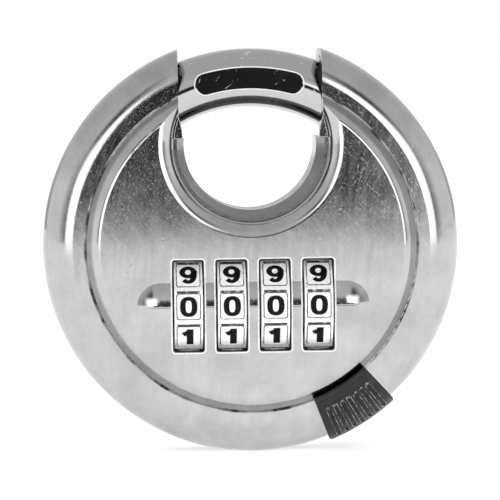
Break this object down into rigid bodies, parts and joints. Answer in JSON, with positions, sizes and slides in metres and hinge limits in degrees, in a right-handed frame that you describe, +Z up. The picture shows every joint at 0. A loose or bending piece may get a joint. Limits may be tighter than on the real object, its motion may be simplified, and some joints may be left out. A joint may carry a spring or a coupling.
{
  "type": "disc padlock",
  "caption": "Round disc padlock with a pressed steel case, a rotary shackle worked by a lever on the rim, and number dials in windows on the front.",
  "frame": {"origin": "middle of the exposed shackle bar, where the lock hangs", "axes": "+X to the right seen from the front, +Y out of the back, +Z up, so the dials face -Y"},
  "size_m": [0.07, 0.0237, 0.0679],
  "materials": {
    "steel": "pressed stainless steel, brushed",
    "chrome": "polished chrome plate",
    "black": "moulded satin black nylon",
    "nickel": "nickel plated zinc, satin",
    "zinc": "die cast zinc alloy, as cast",
    "brass": "turned brass",
    "spring": "spring steel",
    "nylon": "moulded nylon"
  },
  "bodies": {
    "case": {"front_shell": "steel", "rear_shell": "steel", "eye_liner": "steel", "guide_ring_front": "nylon", "guide_ring_rear": "nylon", "shackle_stops": "spring", "core_front": "zinc", "core_rear": "zinc", "core_screws": "spring", "detent_spring": "spring", "fence_springs": "spring", "change_spring": "spring"},
    "shackle_arm": {"shackle": "chrome", "lever_cap": "black", "lever_post": "spring", "lever_screw": "spring"},
    "spindle_shaft": {"spindle": "brass", "spindle_clips": "spring"},
    "change_cam": {"code_change_cam": "brass"},
    "locking_bolt": {"fence_bolt": "spring"},
    "dial_ring_1": {"dial_1": "nickel"},
    "tumbler_1": {"hub_1": "brass"},
    "dial_ring_2": {"dial_2": "nickel"},
    "tumbler_2": {"hub_2": "brass"},
    "dial_ring_3": {"dial_3": "nickel"},
    "tumbler_3": {"hub_3": "brass"},
    "dial_ring_4": {"dial_4": "nickel"},
    "tumbler_4": {"hub_4": "brass"}
  },
  "joints": [
    {"name": "shackle_turn", "type": "hinge", "parent": "case", "child": "shackle_arm", "pos_m": [0, 0, -0.028], "axis": [0, 1, 0], "range_deg": [0, 66]},
    {"name": "bolt_slide", "type": "slide", "parent": "case", "child": "locking_bolt", "axis": [0, 0, 1], "range_m": [-0.0016, 0], "deforming": ["fence_springs"]},
    {"name": "cam_turn", "type": "hinge", "parent": "case", "child": "change_cam", "pos_m": [0.0177, 0, -0.0376], "axis": [0, 1, 0], "range_deg": [0, 90]},
    {"name": "spindle_shift", "type": "slide", "parent": "case", "child": "spindle_shaft", "axis": [1, 0, 0], "range_m": [0, 0.0013], "deforming": ["change_spring"]},
    {"name": "dial_1_turn", "type": "hinge", "parent": "case", "child": "dial_ring_1", "pos_m": [-0.0108, -0.00425, -0.0376], "axis": [1, 0, 0], "continuous": true},
    {"name": "hub_1_turn", "type": "hinge", "parent": "spindle_shaft", "child": "tumbler_1", "pos_m": [-0.0108, -0.00425, -0.0376], "axis": [1, 0, 0], "continuous": true},
    {"name": "dial_2_turn", "type": "hinge", "parent": "case", "child": "dial_ring_2", "pos_m": [-0.0036, -0.00425, -0.0376], "axis": [1, 0, 0], "continuous": true},
    {"name": "hub_2_turn", "type": "hinge", "parent": "spindle_shaft", "child": "tumbler_2", "pos_m": [-0.0036, -0.00425, -0.0376], "axis": [1, 0, 0], "continuous": true},
    {"name": "dial_3_turn", "type": "hinge", "parent": "case", "child": "dial_ring_3", "pos_m": [0.0036, -0.00425, -0.0376], "axis": [1, 0, 0], "continuous": true},
    {"name": "hub_3_turn", "type": "hinge", "parent": "spindle_shaft", "child": "tumbler_3", "pos_m": [0.0036, -0.00425, -0.0376], "axis": [1, 0, 0], "continuous": true},
    {"name": "dial_4_turn", "type": "hinge", "parent": "case", "child": "dial_ring_4", "pos_m": [0.0108, -0.00425, -0.0376], "axis": [1, 0, 0], "continuous": true},
    {"name": "hub_4_turn", "type": "hinge", "parent": "spindle_shaft", "child": "tumbler_4", "pos_m": [0.0108, -0.00425, -0.0376], "axis": [1, 0, 0], "continuous": true}
  ],
  "couplings": [
    {"joint": "cam_turn", "follows": "spindle_shift", "rad_per_m": 1208.3},
    {"joint": "hub_1_turn", "follows": "dial_1_turn", "ratio": 1},
    {"joint": "hub_2_turn", "follows": "dial_2_turn", "ratio": 1},
    {"joint": "hub_3_turn", "follows": "dial_3_turn", "ratio": 1},
    {"joint": "hub_4_turn", "follows": "dial_4_turn", "ratio": 1}
  ]
}
